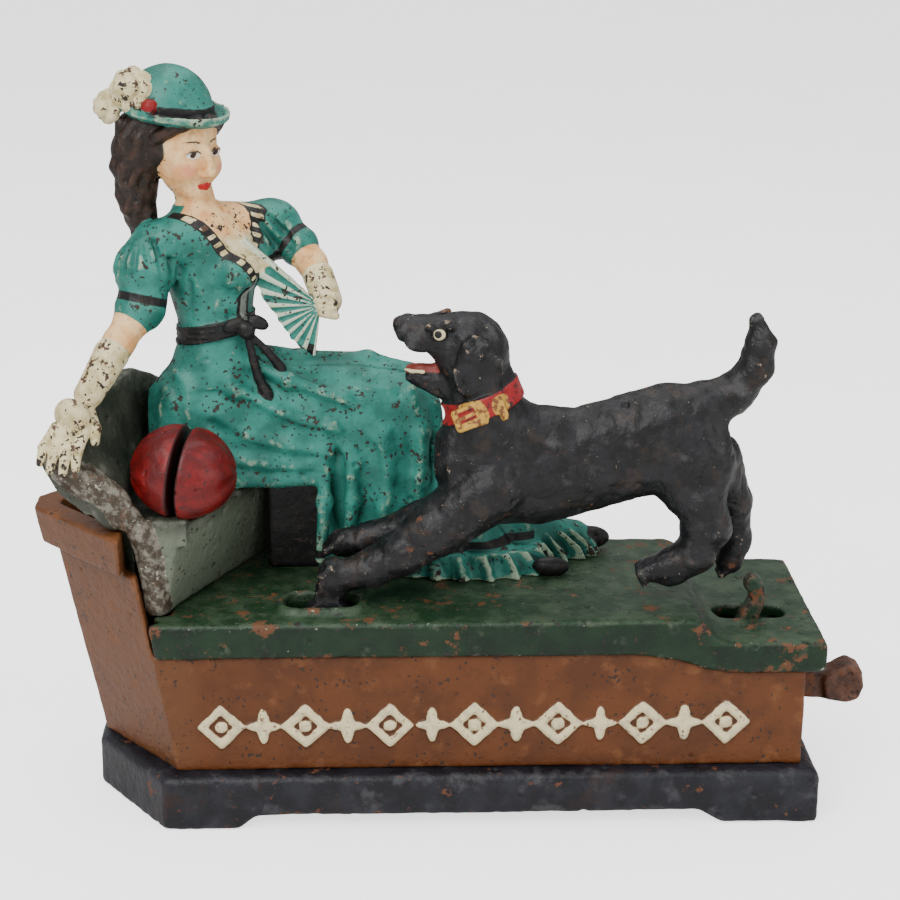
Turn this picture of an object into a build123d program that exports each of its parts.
from build123d import *
import os

# A cast iron mechanical coin bank. A sprung dog, held back by a hook, leaps at a purse that holds
# the coin, beside a lady seated on a bench. All sizes are millimetres.
# Frame: X to the right along the base, Y into the depth (the front face is -Y), Z up.
# Origin: mid-length and mid-depth of the whole object, on the surface that the feet stand on.

# ---- driving dimensions -------------------------------------------------------------------------
WALL = 3.5                # casting wall
RUNNING = 0.05            # radial clearance of a moving part on its pin
SNUG = 0.02               # radial clearance of a fixed pin or screw

PLINTH_RIGHT = 101.5
PLINTH_CORNER = -81.5     # where the sides turn in towards the blunt left end
PLINTH_TIP = -103.0
PLINTH_HALF = 36.0        # half of the plinth's depth
PLINTH_TIP_HALF = 6.0
PLINTH_TOP = 16.0
PLATE_BOTTOM = 11.0       # underside of the plinth's floor plate
FOOT_ARCH = 4.0

BOX_RIGHT = 97.0
BOX_HALF = 31.0
BOX_TIP_HALF = 3.0
CREASE_AT_FLOOR = -74.7   # x of the corner between side and canted end wall, run down to z = 0
CREASE_LEAN = -0.165      # and its lean per mm of height
TIP_AT_FLOOR = -98.2
TIP_LEAN = -0.190
HEAD_TOP = 85.5           # top of the headboard
CAP_HEIGHT = 11.0
CAP_PROUD = 3.655         # brings the cap's tip to the same distance from the origin as the thumb piece
CAP_END = -90.5

DECK_HALF = 33.0
DECK_RIGHT = 102.5
DECK_TOP = 60.5
DECK_LOW = 53.6           # the lower level at the trigger end
DECK_PLATE = 4.0
LIP_BOTTOM = 50.3
LIP_LOW = 44.5
STEP_LEFT = 66.0
STEP_RIGHT = 73.4

SEAT_TOP = 88.0
SEAT_PLATE = 4.0

PURSE = (-74.2, -17.0, 99.4)
PURSE_HALF_LENGTH = 14.2  # across the slot
PURSE_RADIUS = 12.8       # around the slot's normal
SLOT_NORMAL = Vector(0.975, -0.177, -0.137)
SLOT_LENGTHWISE = Vector(0.177, 0.975, 0)
SLOT_GAP = 2.6            # a coin of up to 22 mm by 2 mm stands in it

DOG_Y = -12.5             # the seam between the dog's halves
NEAR_LEGS_Y = -19.0
FAR_LEGS_Y = -6.2
DOG_PIVOT = (-35.5, 56.0)     # x, z
PIN_RADIUS = 2.0
TRIGGER_PIVOT = (86.0, 31.0)  # x, z
TRIGGER_Y = -9.0
TRIGGER_HALF = 2.5
THUMB_END = 118.1

LADY_Y = 9.0              # the seam between the lady's halves
TRAP_PIVOT = (0.0, 14.0)
TRAP_REACH = 18.5         # trap pivot to the middle of the cover
TRAP_HOLE = 13.0
TRAP_COVER = 15.5
SCREW_RADIUS = 1.95
SCREW_HEAD = 3.6
SCREW_HEAD_HEIGHT = 2.4
POSTS = [(-62.0, -22.5), (-62.0, 22.5), (60.0, -22.5), (60.0, 22.5)]
POST_RADIUS = 4.5
COIN_DROP = (-79.85, -12.7)
COIN_DROP_SIZE = (11.3, 23.0)
BENCH_SCREWS = [(-94.0, 6.0), (-72.0, 12.0)]
HALF_SCREWS = [(-66.0, 148.0), (-30.0, 100.0)]    # x, z of the screws through the lady's seam
HALF_RIVETS = [(20.0, 100.0), (62.0, 106.0)]      # x, z of the rivets through the dog's seam


# ---- helpers ------------------------------------------------------------------------------------
def polygon(points):
    """A closed face through the points, in the current sketch."""
    Polygon(*points, align=None)


def disc_along_y(x, z, radius, front, back, mode=Mode.ADD):
    """A round bar or bore along Y between two depths."""
    with BuildSketch(Plane.XZ.offset(-front)) as section:
        with Locations((x, z)):
            Circle(radius)
    extrude(section.sketch, amount=front - back, mode=mode)


def limb(points, radii):
    """A tapering limb: a ball at each joint with a cone from each joint to the next."""
    for place, radius in zip(points, radii):
        with Locations(place):
            Sphere(radius)
    for start, end, r_start, r_end in zip(points, points[1:], radii, radii[1:]):
        along = Vector(*end) - Vector(*start)
        with BuildSketch(Plane(origin=start, z_dir=along)) as near_end:
            Circle(r_start * 0.985)
        with BuildSketch(Plane(origin=end, z_dir=along)) as far_end:
            Circle(r_end * 0.985)
        loft([near_end.sketch.face(), far_end.sketch.face()])


def plinth_plan(inset=0.0):
    """The plinth's six-sided outline, drawn in by the inset."""
    half = PLINTH_HALF - inset
    tip_half = PLINTH_TIP_HALF - 0.3 * inset
    corner = PLINTH_CORNER + 0.3 * inset
    return [(PLINTH_RIGHT - inset, -half), (PLINTH_RIGHT - inset, half), (corner, half),
            (PLINTH_TIP + inset, tip_half), (PLINTH_TIP + inset, -tip_half), (corner, -half)]


def crease_x(z):
    return CREASE_AT_FLOOR + CREASE_LEAN * z


def tip_x(z):
    return TIP_AT_FLOOR + TIP_LEAN * z


def box_plan(z, inset=0.0):
    """The box's outline at a height: straight sides, and two canted walls that meet at the left."""
    half = BOX_HALF - inset
    tip_half = BOX_TIP_HALF - 0.37 * inset
    crease = crease_x(z) + 0.46 * inset
    tip = tip_x(z) + inset
    right = BOX_RIGHT - inset
    return [(right, -half), (right, half), (crease, half), (tip, tip_half), (tip, -tip_half), (crease, -half)]


def deck_plan(z):
    """The deck's outline at a height: it fills the space between the canted walls."""
    crease = crease_x(z)
    tip = tip_x(z) + 6.5
    far_side = [(DECK_RIGHT, DECK_HALF), (crease + 0.5, DECK_HALF), (crease + 0.5, 31.3),
                (crease + 3.4, 28.4), (tip, 2.6)]
    near_side = [(x, -y) for x, y in reversed(far_side)]
    return far_side + near_side


def ellipse_sections(plane, sections):
    """A loft through ellipses: each section is (offset, centre u, centre v, radius u, radius v)."""
    faces = []
    for offset_by, u, v, radius_u, radius_v in sections:
        with BuildSketch(plane.offset(offset_by)) as section:
            with Locations((u, v)):
                Ellipse(radius_u, radius_v)
        faces.append(section.sketch.face())
    loft(faces)


def purse_body(clearance=0.0, start=None, mode=Mode.ADD):
    """The purse's ball turned about the slot's normal, or only the lobe beyond the start distance."""
    length = PURSE_HALF_LENGTH + clearance
    cut_at = -length if start is None else start
    with BuildSketch(Plane(origin=PURSE, x_dir=SLOT_NORMAL, z_dir=SLOT_LENGTHWISE)) as half_outline:
        Ellipse(length, PURSE_RADIUS + clearance)
        with Locations(((cut_at + length) / 2, length)):
            Rectangle(length - cut_at, 2 * length, mode=Mode.INTERSECT)
    revolve(half_outline.sketch, axis=Axis(PURSE, SLOT_NORMAL), mode=mode)


def screw_up(x, y, head_top, length):
    """A slotted screw driven upwards, with the top of its head at head_top."""
    with BuildSketch(Plane.XY.offset(head_top)) as head:
        with Locations((x, y)):
            Circle(SCREW_HEAD)
    extrude(head.sketch, amount=-SCREW_HEAD_HEIGHT)
    with BuildSketch(Plane.XY.offset(head_top)) as shank:
        with Locations((x, y)):
            Circle(SCREW_RADIUS)
    extrude(shank.sketch, amount=length)
    with BuildSketch(Plane.XY.offset(head_top - SCREW_HEAD_HEIGHT)) as slot:
        with Locations((x, y)):
            Rectangle(2.2 * SCREW_HEAD, 0.9)
    extrude(slot.sketch, amount=1.1, mode=Mode.SUBTRACT)


# ---- plinth: the black base plate with feet -------------------------------------------------------
trap_centre = (TRAP_PIVOT[0] - TRAP_REACH, TRAP_PIVOT[1])
leaf_screw = (58.0, TRIGGER_Y)

with BuildPart() as plinth:
    with BuildSketch(Plane.XY):
        polygon(plinth_plan())
    extrude(amount=PLINTH_TOP)
    fillet(plinth.edges().group_by(Axis.Z)[-1], radius=2.5)
    with BuildSketch(Plane.XY):
        polygon(plinth_plan(5.0))
    extrude(amount=PLATE_BOTTOM, mode=Mode.SUBTRACT)
    with BuildSketch(Plane.XZ) as side_arch:
        polygon([(-62, -1), (-56, FOOT_ARCH), (68, FOOT_ARCH), (76, -1)])
        fillet(side_arch.vertices().group_by(Axis.Y)[-1], radius=3)
    extrude(amount=PLINTH_HALF + 1, both=True, mode=Mode.SUBTRACT)
    with BuildSketch(Plane.YZ) as end_arch:
        polygon([(-20, -1), (-15, FOOT_ARCH), (15, FOOT_ARCH), (20, -1)])
        fillet(end_arch.vertices().group_by(Axis.Y)[-1], radius=2.5)
    extrude(amount=PLINTH_RIGHT + 1, mode=Mode.SUBTRACT)
    with BuildSketch(Plane.XY):
        with Locations(trap_centre):
            Circle(TRAP_HOLE)
        with Locations(TRAP_PIVOT):
            Circle(PIN_RADIUS + SNUG)
        with Locations(*POSTS):
            Circle(SCREW_RADIUS + 0.3)
        with Locations(leaf_screw):
            Circle(SCREW_RADIUS + SNUG)
    extrude(amount=PLINTH_TOP + 1, mode=Mode.SUBTRACT)
plinth.part.label = "plinth"
export_step(plinth.part, "parts/plinth.step")

# ---- box: the brown casting, with its leaning headboard and raised frieze -------------------------
frieze_plane = Plane.XZ.offset(BOX_HALF)
FRIEZE_Z = 29.5
FRIEZE_PITCH = 23.4
FRIEZE_HEIGHT = 1.1
frieze_centres = [(5.0 + FRIEZE_PITCH * step, FRIEZE_Z) for step in range(-3, 4)]
leaf_centres = [(x + FRIEZE_PITCH / 2, z) for x, z in frieze_centres[:-1]]

with BuildPart() as box:
    for z in (PLINTH_TOP, HEAD_TOP):
        with BuildSketch(Plane.XY.offset(z)):
            polygon(box_plan(z))
    loft(ruled=True)
    for z in (HEAD_TOP - CAP_HEIGHT, HEAD_TOP):
        with BuildSketch(Plane.XY.offset(z)):
            polygon(box_plan(z, -CAP_PROUD))
    loft(ruled=True)
    for z in (PLINTH_TOP, HEAD_TOP):
        with BuildSketch(Plane.XY.offset(z)):
            polygon(box_plan(z, WALL))
    loft(ruled=True, mode=Mode.SUBTRACT)
    # open the box above the deck, right of the headboard
    above = HEAD_TOP + 5
    with BuildSketch(Plane.XZ):
        polygon([(crease_x(LIP_BOTTOM), LIP_BOTTOM), (49, LIP_BOTTOM), (61, LIP_BOTTOM - 1.6), (70, LIP_LOW + 1),
                 (80, LIP_LOW), (BOX_RIGHT + 10, LIP_LOW), (BOX_RIGHT + 10, above), (crease_x(above), above)])
    extrude(amount=2 * PLINTH_HALF, both=True, mode=Mode.SUBTRACT)
    # the cap stops short of the bench at its near and far ends
    with BuildSketch(Plane.XZ):
        polygon([(CAP_END, HEAD_TOP - CAP_HEIGHT - 1), (CAP_END, above), (0, above), (0, HEAD_TOP - CAP_HEIGHT - 1)])
    extrude(amount=2 * PLINTH_HALF, both=True, mode=Mode.SUBTRACT)
    # window for the trigger in the right wall
    with BuildSketch(Plane.YZ.offset(BOX_RIGHT - WALL - 1)):
        with Locations((TRIGGER_Y, 30.0)):
            RectangleRounded(9.0, 15.0, 1.5)
    extrude(amount=WALL + 2, mode=Mode.SUBTRACT)
    # frieze of open lozenges with a bead inside, and leaves between them
    with BuildSketch(frieze_plane):
        with Locations(*frieze_centres):
            RegularPolygon(radius=6.6, side_count=4, rotation=0)
            RegularPolygon(radius=3.9, side_count=4, rotation=0, mode=Mode.SUBTRACT)
            Circle(1.5)
        with Locations(*leaf_centres):
            Ellipse(1.5, 5.2)
            Ellipse(4.6, 1.3)
    extrude(amount=FRIEZE_HEIGHT)
box.part.label = "box"
export_step(box.part, "parts/box.step")

# ---- deck: the green top plate with its two levels, lip, posts and lugs ---------------------------
paw_slot_x = (-47.5, -27.0)
paw_slot_y = (-24.2, -13.8)
hook_slot_x = (73.6, 94.3)
HOOK_SLOT_WIDTH = 9.0
DOG_LUG = 2.5
TRIGGER_LUG = 2.5
SPRING_Z = 34.0
anchor_x = 14.0

with BuildPart() as deck:
    for z in (LIP_LOW - 1, DECK_TOP):
        with BuildSketch(Plane.XY.offset(z)):
            polygon(deck_plan(z))
    loft(ruled=True)
    with BuildSketch(Plane.XZ):
        polygon([(-120, LIP_BOTTOM), (49, LIP_BOTTOM), (61, LIP_BOTTOM - 1.6), (70, LIP_LOW + 1), (80, LIP_LOW),
                 (DECK_RIGHT, LIP_LOW), (DECK_RIGHT, DECK_LOW - 0.4), (STEP_RIGHT + 1.5, DECK_LOW),
                 (STEP_RIGHT - 1.8, DECK_LOW + 1.4), (STEP_LEFT + 2, DECK_TOP - 1.2), (STEP_LEFT - 1, DECK_TOP),
                 (-120, DECK_TOP)])
    extrude(amount=DECK_HALF, both=True, mode=Mode.INTERSECT)
    top_rim = deck.edges().filter_by(Axis.X).group_by(Axis.Z)[-1]
    fillet(top_rim, radius=1.2)
    # hollow underneath, and the posts and lugs that hang into the hollow
    with BuildSketch(Plane.XZ):
        polygon([(-74, LIP_LOW - 2), (-74, DECK_TOP - DECK_PLATE), (STEP_LEFT - 4, DECK_TOP - DECK_PLATE),
                 (STEP_RIGHT - 3, DECK_LOW - DECK_PLATE), (DECK_RIGHT - 5, DECK_LOW - DECK_PLATE),
                 (DECK_RIGHT - 5, LIP_LOW - 2)])
    extrude(amount=DECK_HALF - 4.5, both=True, mode=Mode.SUBTRACT)
    with BuildSketch(Plane.XY.offset(PLINTH_TOP + 0.1)):
        with Locations(*POSTS):
            Circle(POST_RADIUS)
    extrude(until=Until.NEXT)
    for lug_y in (paw_slot_y[0] - DOG_LUG - 0.6, paw_slot_y[1] + 0.6):
        with BuildSketch(Plane.XZ.offset(-lug_y)):
            polygon([(-42.5, DECK_TOP - 1), (-40, 49.5), (-31, 49.5), (-28.5, DECK_TOP - 1)])
        extrude(amount=-DOG_LUG)
    for lug_y in (TRIGGER_Y - TRIGGER_HALF - TRIGGER_LUG - 1.0, TRIGGER_Y + TRIGGER_HALF + 1.0):
        with BuildSketch(Plane.XZ.offset(-lug_y)):
            polygon([(81, DECK_LOW - 2), (82, 26), (90, 26), (91, DECK_LOW - 2)])
        extrude(amount=-TRIGGER_LUG)
    with BuildSketch(Plane.XZ.offset(-NEAR_LEGS_Y)):
        polygon([(anchor_x - 3, DECK_TOP - 1), (anchor_x - 3, SPRING_Z - 3), (anchor_x + 3, SPRING_Z - 3),
                 (anchor_x + 3, DECK_TOP - 1)])
    extrude(amount=1.5, both=True)
    # raised ring around the paw's slot
    slot_middle = (sum(paw_slot_x) / 2, sum(paw_slot_y) / 2)
    slot_size = (paw_slot_x[1] - paw_slot_x[0], paw_slot_y[1] - paw_slot_y[0])
    with BuildSketch(Plane.XY.offset(DECK_TOP - 1)):
        with Locations(slot_middle):
            RectangleRounded(slot_size[0] + 4.6, slot_size[1] + 4.6, 6.5)
    extrude(amount=3.0)
    with BuildSketch(Plane.XY.offset(DECK_TOP - DECK_PLATE - 0.5)):
        with Locations(slot_middle):
            RectangleRounded(*slot_size, 4.2)
    extrude(amount=DECK_PLATE + 4, mode=Mode.SUBTRACT)
    with BuildSketch(Plane.XY.offset(DECK_LOW - DECK_PLATE - 1)):
        with Locations((sum(hook_slot_x) / 2, TRIGGER_Y)):
            SlotOverall(hook_slot_x[1] - hook_slot_x[0], HOOK_SLOT_WIDTH)
    extrude(amount=DECK_PLATE + 6, mode=Mode.SUBTRACT)
    # the coin's way down under the bench
    with BuildSketch(Plane.XY.offset(LIP_LOW)):
        with Locations((-87.5, -11.0)):
            Rectangle(17.0, 27.0)
    extrude(amount=DECK_TOP, mode=Mode.SUBTRACT)
    # tapped holes in the posts, bench screw holes, pin bores and the spring's eye
    with BuildSketch(Plane.XY.offset(PLINTH_TOP)):
        with Locations(*POSTS):
            Circle(SCREW_RADIUS + SNUG)
    extrude(amount=16, mode=Mode.SUBTRACT)
    with BuildSketch(Plane.XY.offset(LIP_LOW)):
        with Locations(*BENCH_SCREWS):
            Circle(SCREW_RADIUS + 0.25)
    extrude(amount=DECK_TOP, mode=Mode.SUBTRACT)
    disc_along_y(*DOG_PIVOT, PIN_RADIUS + SNUG, -27.5, -10.5, Mode.SUBTRACT)
    disc_along_y(*TRIGGER_PIVOT, PIN_RADIUS + SNUG, -16.0, -2.0, Mode.SUBTRACT)
    disc_along_y(anchor_x, SPRING_Z, 1.6, -22.0, -16.0, Mode.SUBTRACT)
deck.part.label = "deck"
export_step(deck.part, "parts/deck.step")

# ---- bench: hollow seat with a leaning front, and a back that flares over the headboard -----------
seat_foot = [(-79.5, -25.5), (-71.5, -8), (-61, 14), (-50, 31), (-79.5, 31), (-98, 9), (-98, -6), (-83.2, -25.5)]
seat_rim = [(-75, -27), (-66, -15), (-58, 6), (-47, 31), (-79.5, 31), (-98, 9), (-98, -6), (-85.5, -27)]
seat_foot_inside = [(-80.8, -22.5), (-75.5, -7), (-65, 14), (-56, 28), (-78, 28), (-94, 8), (-94, -5), (-84.8, -22.5)]
seat_rim_inside = [(-79, -23.5), (-70, -13), (-62, 6), (-53, 28), (-78, 28), (-94, 8), (-94, -5), (-86.5, -23.5)]
back_sections = [
    (-28.0, [(-94.0, 86.2), (-86.5, 87.0), (-88.5, 95.5), (-100.5, 103.0), (-106.5, 113.5), (-112.0, 110.0)]),
    (-8.0, [(-97.5, 85.7), (-90.5, 86.8), (-90.0, 97.0), (-94.5, 106.0), (-97.0, 119.5), (-103.0, 118.0)]),
    (12.0, [(-95.0, 84.0), (-87.5, 86.5), (-86.5, 97.0), (-87.5, 107.0), (-89.5, 121.5), (-95.5, 120.5)]),
    (30.0, [(-83.5, 84.0), (-77.0, 86.5), (-76.0, 96.0), (-76.5, 103.0), (-78.0, 111.5), (-83.5, 110.5)])]

with BuildPart() as bench:
    for z, outline in ((DECK_TOP, seat_foot), (SEAT_TOP, seat_rim)):
        with BuildSketch(Plane.XY.offset(z)):
            polygon(outline)
    loft(ruled=True)
    for y, outline in back_sections:
        with BuildSketch(Plane.XZ.offset(-y)):
            polygon(outline)
    loft(ruled=True)
    for z, outline in ((DECK_TOP, seat_foot_inside), (SEAT_TOP - SEAT_PLATE, seat_rim_inside)):
        with BuildSketch(Plane.XY.offset(z)):
            polygon(outline)
    loft(ruled=True, mode=Mode.SUBTRACT)
    with BuildSketch(Plane.XY.offset(DECK_TOP)):
        with Locations(*BENCH_SCREWS):
            Circle(4.0)
    extrude(amount=SEAT_TOP - DECK_TOP - 1)
    with BuildSketch(Plane.XY.offset(DECK_TOP)):
        with Locations(*BENCH_SCREWS):
            Circle(SCREW_RADIUS + SNUG)
    extrude(amount=14, mode=Mode.SUBTRACT)
    # dish for the purse, and the coin's slot below it
    purse_body(0.15, mode=Mode.SUBTRACT)
    with BuildSketch(Plane.XY.offset(SEAT_TOP - 2 * SEAT_PLATE)):
        with Locations(COIN_DROP):
            RectangleRounded(*COIN_DROP_SIZE, 1.0)
    extrude(amount=3 * SEAT_PLATE, mode=Mode.SUBTRACT)
bench.part.label = "bench"
export_step(bench.part, "parts/bench.step")

# ---- purse: two red lobes with the coin slot between them -----------------------------------------
with BuildPart() as purse_right:
    purse_body(start=SLOT_GAP / 2)
purse_right.part.label = "purse_right"
export_step(purse_right.part, "parts/purse_right.step")

with BuildPart() as purse_left:
    add(purse_right.part.rotate(Axis(PURSE, SLOT_LENGTHWISE), 180))
purse_left.part.label = "purse_left"
export_step(purse_left.part, "parts/purse_left.step")

# ---- lady: two castings that meet at a seam along the bench ---------------------------------------
with BuildPart() as lady:
    # hips and thighs, then the skirt down to the deck
    ellipse_sections(Plane.YZ, [(-83, 11, 104, 9, 9), (-72, 11, 105.5, 14, 17), (-50, 13, 108, 12.6, 15.5),
                                (-25, 13.2, 109, 12.4, 14), (-8, 13, 106, 10, 11)])
    with BuildSketch(Plane.XY.offset(SEAT_TOP - 15)):
        with Locations((-70, 15)):
            Rectangle(56, 60)
    extrude(amount=15.3, mode=Mode.SUBTRACT)
    ellipse_sections(Plane.XY, [(DECK_TOP + 0.1, -5, 13.5, 33, 14), (76, -15, 14.2, 24.5, 13.4),
                                (92, -22, 13.8, 19.5, 13), (106, -23, 13, 17, 12)])
    limb([(10, 6, 66), (27, 2, 64.8)], [5.0, 3.6])
    limb([(8, 20, 67), (41, 22, 65.2)], [5.0, 3.6])
    # body, neck, head, hair and hat
    ellipse_sections(Plane.XY, [(110, -70, 11, 13, 11), (131, -66, 10, 12.5, 8.5), (150, -66, 9.5, 14.5, 10),
                                (161, -66, 10, 13.5, 11), (169, -69, 9, 6, 6)])
    limb([(-69, 9, 166), (-71, 8, 176)], [5.8, 5.4])
    with Locations((-72, 8, 183.5)):
        Sphere(11.0)
    limb([(-83, 12, 193), (-87, 13, 180), (-84, 13, 164)], [7.5, 7.0, 4.6])
    with BuildSketch(Plane(origin=(-74, 8, 191), z_dir=(0.10, -0.22, 0.97))):
        Ellipse(17.0, 13.0)
    extrude(amount=3.2)
    with Locations((-74, 9, 194)):
        Sphere(12.2)
    limb([(-86, 4, 202), (-93, 8, 196)], [5.6, 4.6])
    # near arm: puffed sleeve, arm, glove resting on the bench's near end
    limb([(-83, 4, 156), (-85, -1, 151)], [8.5, 9.4])
    limb([(-87, -3, 143), (-91, -9, 135.5), (-97, -17, 124), (-104, -23, 112)], [5.4, 5.0, 5.0, 6.2])
    # far arm: sleeve, forearm, fist and the closed fan
    limb([(-56, 16, 158), (-47, 17, 159)], [8.0, 9.2])
    limb([(-44, 15, 154), (-38, 9, 151), (-35, 5, 143)], [5.0, 4.6, 4.4])
    with BuildSketch(Plane.XZ.offset(-1.0)):
        polygon([(-59, 157), (-52, 159), (-36, 144), (-33, 132), (-38, 128), (-45, 134), (-54, 148)])
    extrude(amount=-5.5)
    # the figure stops where it meets the bench and the purse
    add(bench.part, mode=Mode.SUBTRACT)
    purse_body(0.2, mode=Mode.SUBTRACT)
    for x, z in HALF_SCREWS:
        disc_along_y(x, z, SCREW_RADIUS + SNUG, LADY_Y - 5, LADY_Y + 20, Mode.SUBTRACT)
        disc_along_y(x, z, SCREW_HEAD + 0.1, LADY_Y + 7, LADY_Y + 20, Mode.SUBTRACT)

lady_seam = Plane(origin=(0, LADY_Y, 0), z_dir=(0, 1, 0))
with BuildPart() as lady_front:
    add(lady.part)
    split(bisect_by=lady_seam, keep=Keep.BOTTOM)
lady_front.part.label = "lady_front"
export_step(lady_front.part, "parts/lady_front.step")

with BuildPart() as lady_rear:
    add(lady.part)
    split(bisect_by=lady_seam, keep=Keep.TOP)
lady_rear.part.label = "lady_rear"
export_step(lady_rear.part, "parts/lady_rear.step")

with BuildPart() as lady_screws:
    for x, z in HALF_SCREWS:
        disc_along_y(x, z, SCREW_RADIUS, LADY_Y - 4.5, LADY_Y + 7)
        disc_along_y(x, z, SCREW_HEAD, LADY_Y + 7, LADY_Y + 7 + SCREW_HEAD_HEIGHT)
lady_screws.part.label = "lady_screws"
export_step(lady_screws.part, "parts/lady_screws.step")

# ---- dog: two castings riveted together, the near one with the foot that pivots in the deck -------
HUB_RADIUS = 5.0
HUB_HALF = 3.6
arm_end = (DOG_PIVOT[0] - 4.0, SPRING_Z)

with BuildPart() as dog:
    ellipse_sections(Plane.YZ, [(0, DOG_Y, 100, 6, 10), (14, DOG_Y, 100, 10, 17.5), (30, DOG_Y, 99.5, 10, 16.5),
                                (46, DOG_Y, 103.5, 9.5, 15.5), (62, DOG_Y, 107.5, 10, 14.5), (72, DOG_Y, 109, 6, 10)])
    limb([(14, DOG_Y, 106), (7, DOG_Y, 119), (5, DOG_Y, 132)], [10.5, 9.6, 9.8])
    limb([(0, DOG_Y, 134), (-12, DOG_Y, 138)], [7.5, 4.0])
    limb([(1, DOG_Y, 121), (-11, DOG_Y, 124.5)], [5.0, 2.8])
    for side in (-1, 1):
        limb([(9, DOG_Y + side * 8.0, 134), (12, DOG_Y + side * 9.0, 121)], [3.6, 3.2])
    limb([(71, DOG_Y, 117), (80, DOG_Y, 124), (83.5, DOG_Y, 133), (81.8, DOG_Y, 140)], [6.2, 5.2, 4.4, 2.0])
    # near legs
    limb([(8, NEAR_LEGS_Y + 2, 92), (-8, NEAR_LEGS_Y, 80), (-22, NEAR_LEGS_Y, 71.5), (-34, NEAR_LEGS_Y, 68.5)],
         [9.0, 7.4, 5.2, 5.2])
    limb([(67, NEAR_LEGS_Y + 3, 100), (68, NEAR_LEGS_Y, 86), (66.5, NEAR_LEGS_Y, 75), (56, NEAR_LEGS_Y, 69.5)],
         [9.0, 7.4, 5.6, 4.8])
    # far legs
    limb([(8, FAR_LEGS_Y - 5, 90), (-10, FAR_LEGS_Y - 1, 80), (-33, FAR_LEGS_Y, 73.5)], [8.5, 5.4, 4.2])
    limb([(72, FAR_LEGS_Y - 4, 98), (79.5, FAR_LEGS_Y, 84), (80, FAR_LEGS_Y, 72), (77.3, FAR_LEGS_Y, 65.6)],
         [8.0, 4.6, 3.9, 4.2])
    # hub and spring arm under the near paw
    disc_along_y(*DOG_PIVOT, HUB_RADIUS, NEAR_LEGS_Y - HUB_HALF, NEAR_LEGS_Y + HUB_HALF)
    with BuildSketch(Plane.XZ.offset(-NEAR_LEGS_Y)):
        polygon([(DOG_PIVOT[0] - 3.5, DOG_PIVOT[1]), (DOG_PIVOT[0] - 3.2, 66), (DOG_PIVOT[0] + 3.5, 66),
                 (DOG_PIVOT[0] + 3.5, DOG_PIVOT[1])])
    extrude(amount=HUB_HALF, both=True)
    with BuildSketch(Plane.XZ.offset(-NEAR_LEGS_Y)):
        polygon([(DOG_PIVOT[0] - 4.2, DOG_PIVOT[1] - 2), (arm_end[0] - 3, arm_end[1] + 1),
                 (arm_end[0] - 1.5, arm_end[1] - 3), (arm_end[0] + 2, arm_end[1] - 3),
                 (arm_end[0] + 3, arm_end[1]), (DOG_PIVOT[0] + 4.2, DOG_PIVOT[1] - 2)])
    extrude(amount=1.5, both=True)
    disc_along_y(*DOG_PIVOT, PIN_RADIUS + RUNNING, NEAR_LEGS_Y - 6, NEAR_LEGS_Y + 6, Mode.SUBTRACT)
    disc_along_y(*arm_end, 1.6, NEAR_LEGS_Y - 3, NEAR_LEGS_Y + 3, Mode.SUBTRACT)
    for x, z in HALF_RIVETS:
        disc_along_y(x, z, 1.5 + SNUG, -30, 5, Mode.SUBTRACT)

dog_seam = Plane(origin=(0, DOG_Y, 0), z_dir=(0, 1, 0))
with BuildPart() as dog_near_half:
    add(dog.part)
    split(bisect_by=dog_seam, keep=Keep.BOTTOM)
dog_near_half.part.label = "dog_near_half"
export_step(dog_near_half.part, "parts/dog_near_half.step")

with BuildPart() as dog_far_half:
    add(dog.part)
    split(bisect_by=dog_seam, keep=Keep.TOP)
dog_far_half.part.label = "dog_far_half"
export_step(dog_far_half.part, "parts/dog_far_half.step")

with BuildPart() as dog_rivets:
    for x, z in HALF_RIVETS:
        disc_along_y(x, z, 1.5, -22.3, -2.7)
dog_rivets.part.label = "dog_rivets"
export_step(dog_rivets.part, "parts/dog_rivets.step")

# ---- pins -----------------------------------------------------------------------------------------
with BuildPart() as dog_pivot_pin:
    disc_along_y(*DOG_PIVOT, PIN_RADIUS, -27.2, -10.8)
dog_pivot_pin.part.label = "dog_pivot_pin"
export_step(dog_pivot_pin.part, "parts/dog_pivot_pin.step")

with BuildPart() as trigger_pin:
    disc_along_y(*TRIGGER_PIVOT, PIN_RADIUS, -15.4, -2.6)
trigger_pin.part.label = "trigger_pin"
export_step(trigger_pin.part, "parts/trigger_pin.step")

# ---- trigger: hook, pivot boss and thumb piece in one casting -------------------------------------
with BuildPart() as trigger:
    with BuildSketch(Plane.XZ.offset(-TRIGGER_Y)):
        polygon([(81.5, 33), (80.6, 50), (82.2, 54.5), (84.2, 57.6), (84.0, 59.6), (82.5, 60.8), (82.5, 63.4),
                 (84.0, 65.2), (86.2, 64.8), (88.2, 61.4), (88.6, 57), (87.0, 52), (87.0, 40), (91, 35),
                 (100, 34), (108, 35.2), (113.5, 38), (THUMB_END - 0.8, 36.2), (THUMB_END, 31),
                 (THUMB_END - 1.6, 27), (113, 26),
                 (101, 27), (91, 26.8), (84, 25.5)])
    extrude(amount=TRIGGER_HALF, both=True)
    with BuildSketch(Plane.XZ.offset(-TRIGGER_Y)):
        polygon([(106, 33.5), (108, 35.2), (113.5, 38), (THUMB_END - 0.8, 36.2), (THUMB_END, 31),
                 (THUMB_END - 1.6, 27), (113, 26), (107, 27)])
    extrude(amount=4.6, both=True)
    disc_along_y(*TRIGGER_PIVOT, PIN_RADIUS + RUNNING, TRIGGER_Y - 4, TRIGGER_Y + 4, Mode.SUBTRACT)
trigger.part.label = "trigger"
export_step(trigger.part, "parts/trigger.step")

# ---- springs --------------------------------------------------------------------------------------
WIRE = 0.6
COIL = 3.0
ring_left_x = arm_end[0] + COIL
ring_right_x = anchor_x - COIL
coil_start = ring_left_x + COIL + 1.2
coil_length = ring_right_x - COIL - 1.2 - coil_start

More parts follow.
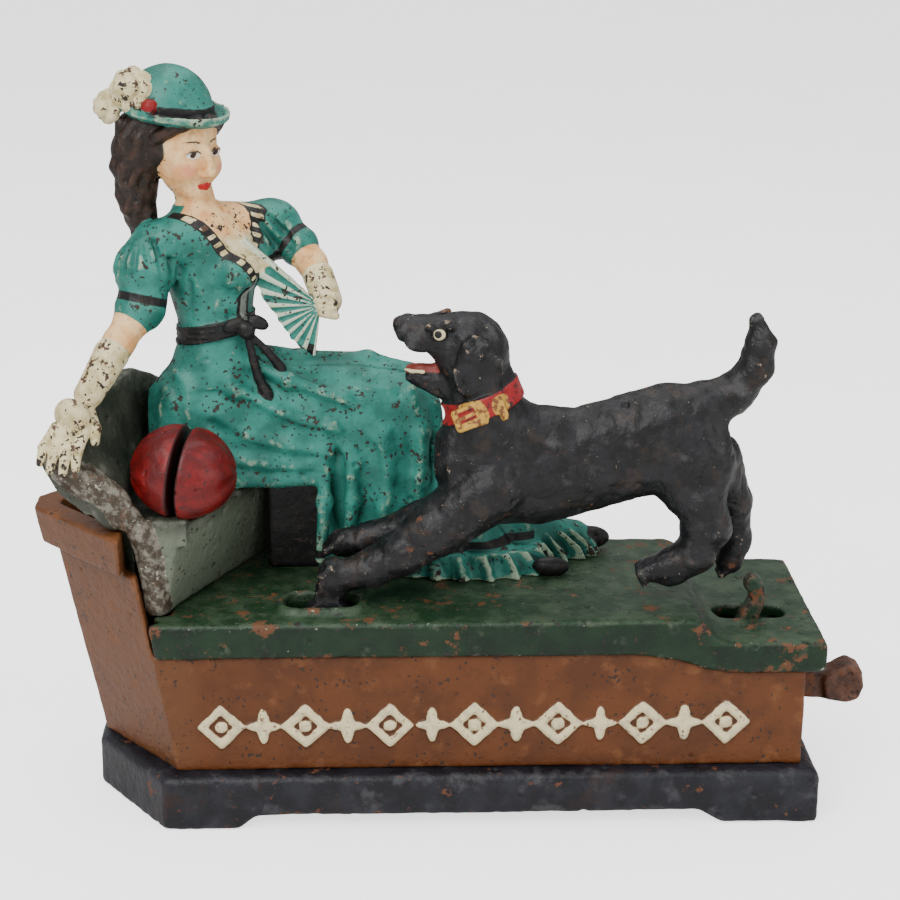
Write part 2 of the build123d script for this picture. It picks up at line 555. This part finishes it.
with BuildPart() as main_spring:
    with BuildLine() as coil_path:
        Helix(pitch=2.4, height=coil_length, radius=COIL, center=(coil_start, NEAR_LEGS_Y, SPRING_Z),
              direction=(1, 0, 0))
    with BuildSketch(Plane(origin=coil_path.line @ 0, z_dir=coil_path.line % 0)):
        Circle(WIRE)
    sweep(is_frenet=True)
    for ring_x in (ring_left_x, ring_right_x):
        with Locations((ring_x, NEAR_LEGS_Y, SPRING_Z)):
            Torus(COIL, WIRE)
    coil_ends = (coil_path.line @ 0, coil_path.line @ 1)
    ring_edges = ((ring_left_x + COIL, NEAR_LEGS_Y, SPRING_Z), (ring_right_x - COIL, NEAR_LEGS_Y, SPRING_Z))
    for coil_end, ring_edge in zip(coil_ends, ring_edges):
        reach = Vector(*ring_edge) - coil_end
        with BuildSketch(Plane(origin=coil_end, z_dir=reach)):
            Circle(WIRE * 0.95)
        extrude(amount=reach.length)
main_spring.part.label = "main_spring"
export_step(main_spring.part, "parts/main_spring.step")

with BuildPart() as trigger_spring:
    with BuildSketch(Plane.XZ.offset(-TRIGGER_Y)):
        polygon([(52, PLINTH_TOP + 0.05), (66, PLINTH_TOP + 0.05), (80, 20.5), (91.5, 25.6), (92.5, 25.2),
                 (92.3, 26.2), (91.2, 26.4), (79.6, 21.3), (65.8, PLINTH_TOP + 0.8), (52, PLINTH_TOP + 0.8)])
    extrude(amount=TRIGGER_HALF, both=True)
    with BuildSketch(Plane.XY.offset(PLINTH_TOP - 1)):
        with Locations(leaf_screw):
            Circle(SCREW_RADIUS + SNUG)
    extrude(amount=4, mode=Mode.SUBTRACT)
trigger_spring.part.label = "trigger_spring"
export_step(trigger_spring.part, "parts/trigger_spring.step")

with BuildPart() as trigger_spring_screw:
    with BuildSketch(Plane.XY.offset(PLATE_BOTTOM + 0.4)):
        with Locations(leaf_screw):
            Circle(SCREW_RADIUS)
    extrude(amount=PLINTH_TOP + 0.8 - PLATE_BOTTOM - 0.4)
    with BuildSketch(Plane.XY.offset(PLINTH_TOP + 0.85)):
        with Locations(leaf_screw):
            Circle(SCREW_HEAD)
    extrude(amount=SCREW_HEAD_HEIGHT)
    with BuildSketch(Plane.XY.offset(PLINTH_TOP + 0.7)):
        with Locations(leaf_screw):
            Circle(SCREW_RADIUS)
    extrude(amount=1)
trigger_spring_screw.part.label = "trigger_spring_screw"
export_step(trigger_spring_screw.part, "parts/trigger_spring_screw.step")

# ---- coin trap under the plinth -------------------------------------------------------------------
TRAP_TOP = PLATE_BOTTOM - 0.2
TRAP_THICK = 2.4

with BuildPart() as trap_cover:
    with BuildSketch(Plane.XY.offset(TRAP_TOP)):
        with Locations(trap_centre):
            Circle(TRAP_COVER)
        with Locations(TRAP_PIVOT):
            Circle(5.0)
        with Locations((TRAP_PIVOT[0] - TRAP_REACH / 2, TRAP_PIVOT[1])):
            Rectangle(TRAP_REACH, 9.0)
        with Locations(TRAP_PIVOT):
            Circle(PIN_RADIUS + RUNNING, mode=Mode.SUBTRACT)
    extrude(amount=-TRAP_THICK)
    with BuildSketch(Plane.XY.offset(TRAP_TOP - TRAP_THICK)):
        with Locations((trap_centre[0] - 9, trap_centre[1])):
            Rectangle(3.0, 12.0)
    extrude(amount=-2.0)
trap_cover.part.label = "trap_cover"
export_step(trap_cover.part, "parts/trap_cover.step")

with BuildPart() as trap_rivet:
    with BuildSketch(Plane.XY.offset(TRAP_TOP - TRAP_THICK - 0.1)):
        with Locations(TRAP_PIVOT):
            Circle(PIN_RADIUS)
    extrude(amount=PLINTH_TOP + 0.2 - TRAP_TOP + TRAP_THICK)
    with BuildSketch(Plane.XY.offset(TRAP_TOP - TRAP_THICK - 0.1)):
        with Locations(TRAP_PIVOT):
            Circle(4.0)
    extrude(amount=-1.6)
    with BuildSketch(Plane.XY.offset(PLINTH_TOP + 0.05)):
        with Locations(TRAP_PIVOT):
            Circle(3.6)
    extrude(amount=1.4)
trap_rivet.part.label = "trap_rivet"
export_step(trap_rivet.part, "parts/trap_rivet.step")

# ---- screws ---------------------------------------------------------------------------------------
with BuildPart() as base_screws:
    for x, y in POSTS:
        screw_up(x, y, PLATE_BOTTOM - 0.05, 19.0)
base_screws.part.label = "base_screws"
export_step(base_screws.part, "parts/base_screws.step")

with BuildPart() as bench_screws:
    for x, y in BENCH_SCREWS:
        screw_up(x, y, LIP_BOTTOM - 0.05, 22.0)
bench_screws.part.label = "bench_screws"
export_step(bench_screws.part, "parts/bench_screws.step")
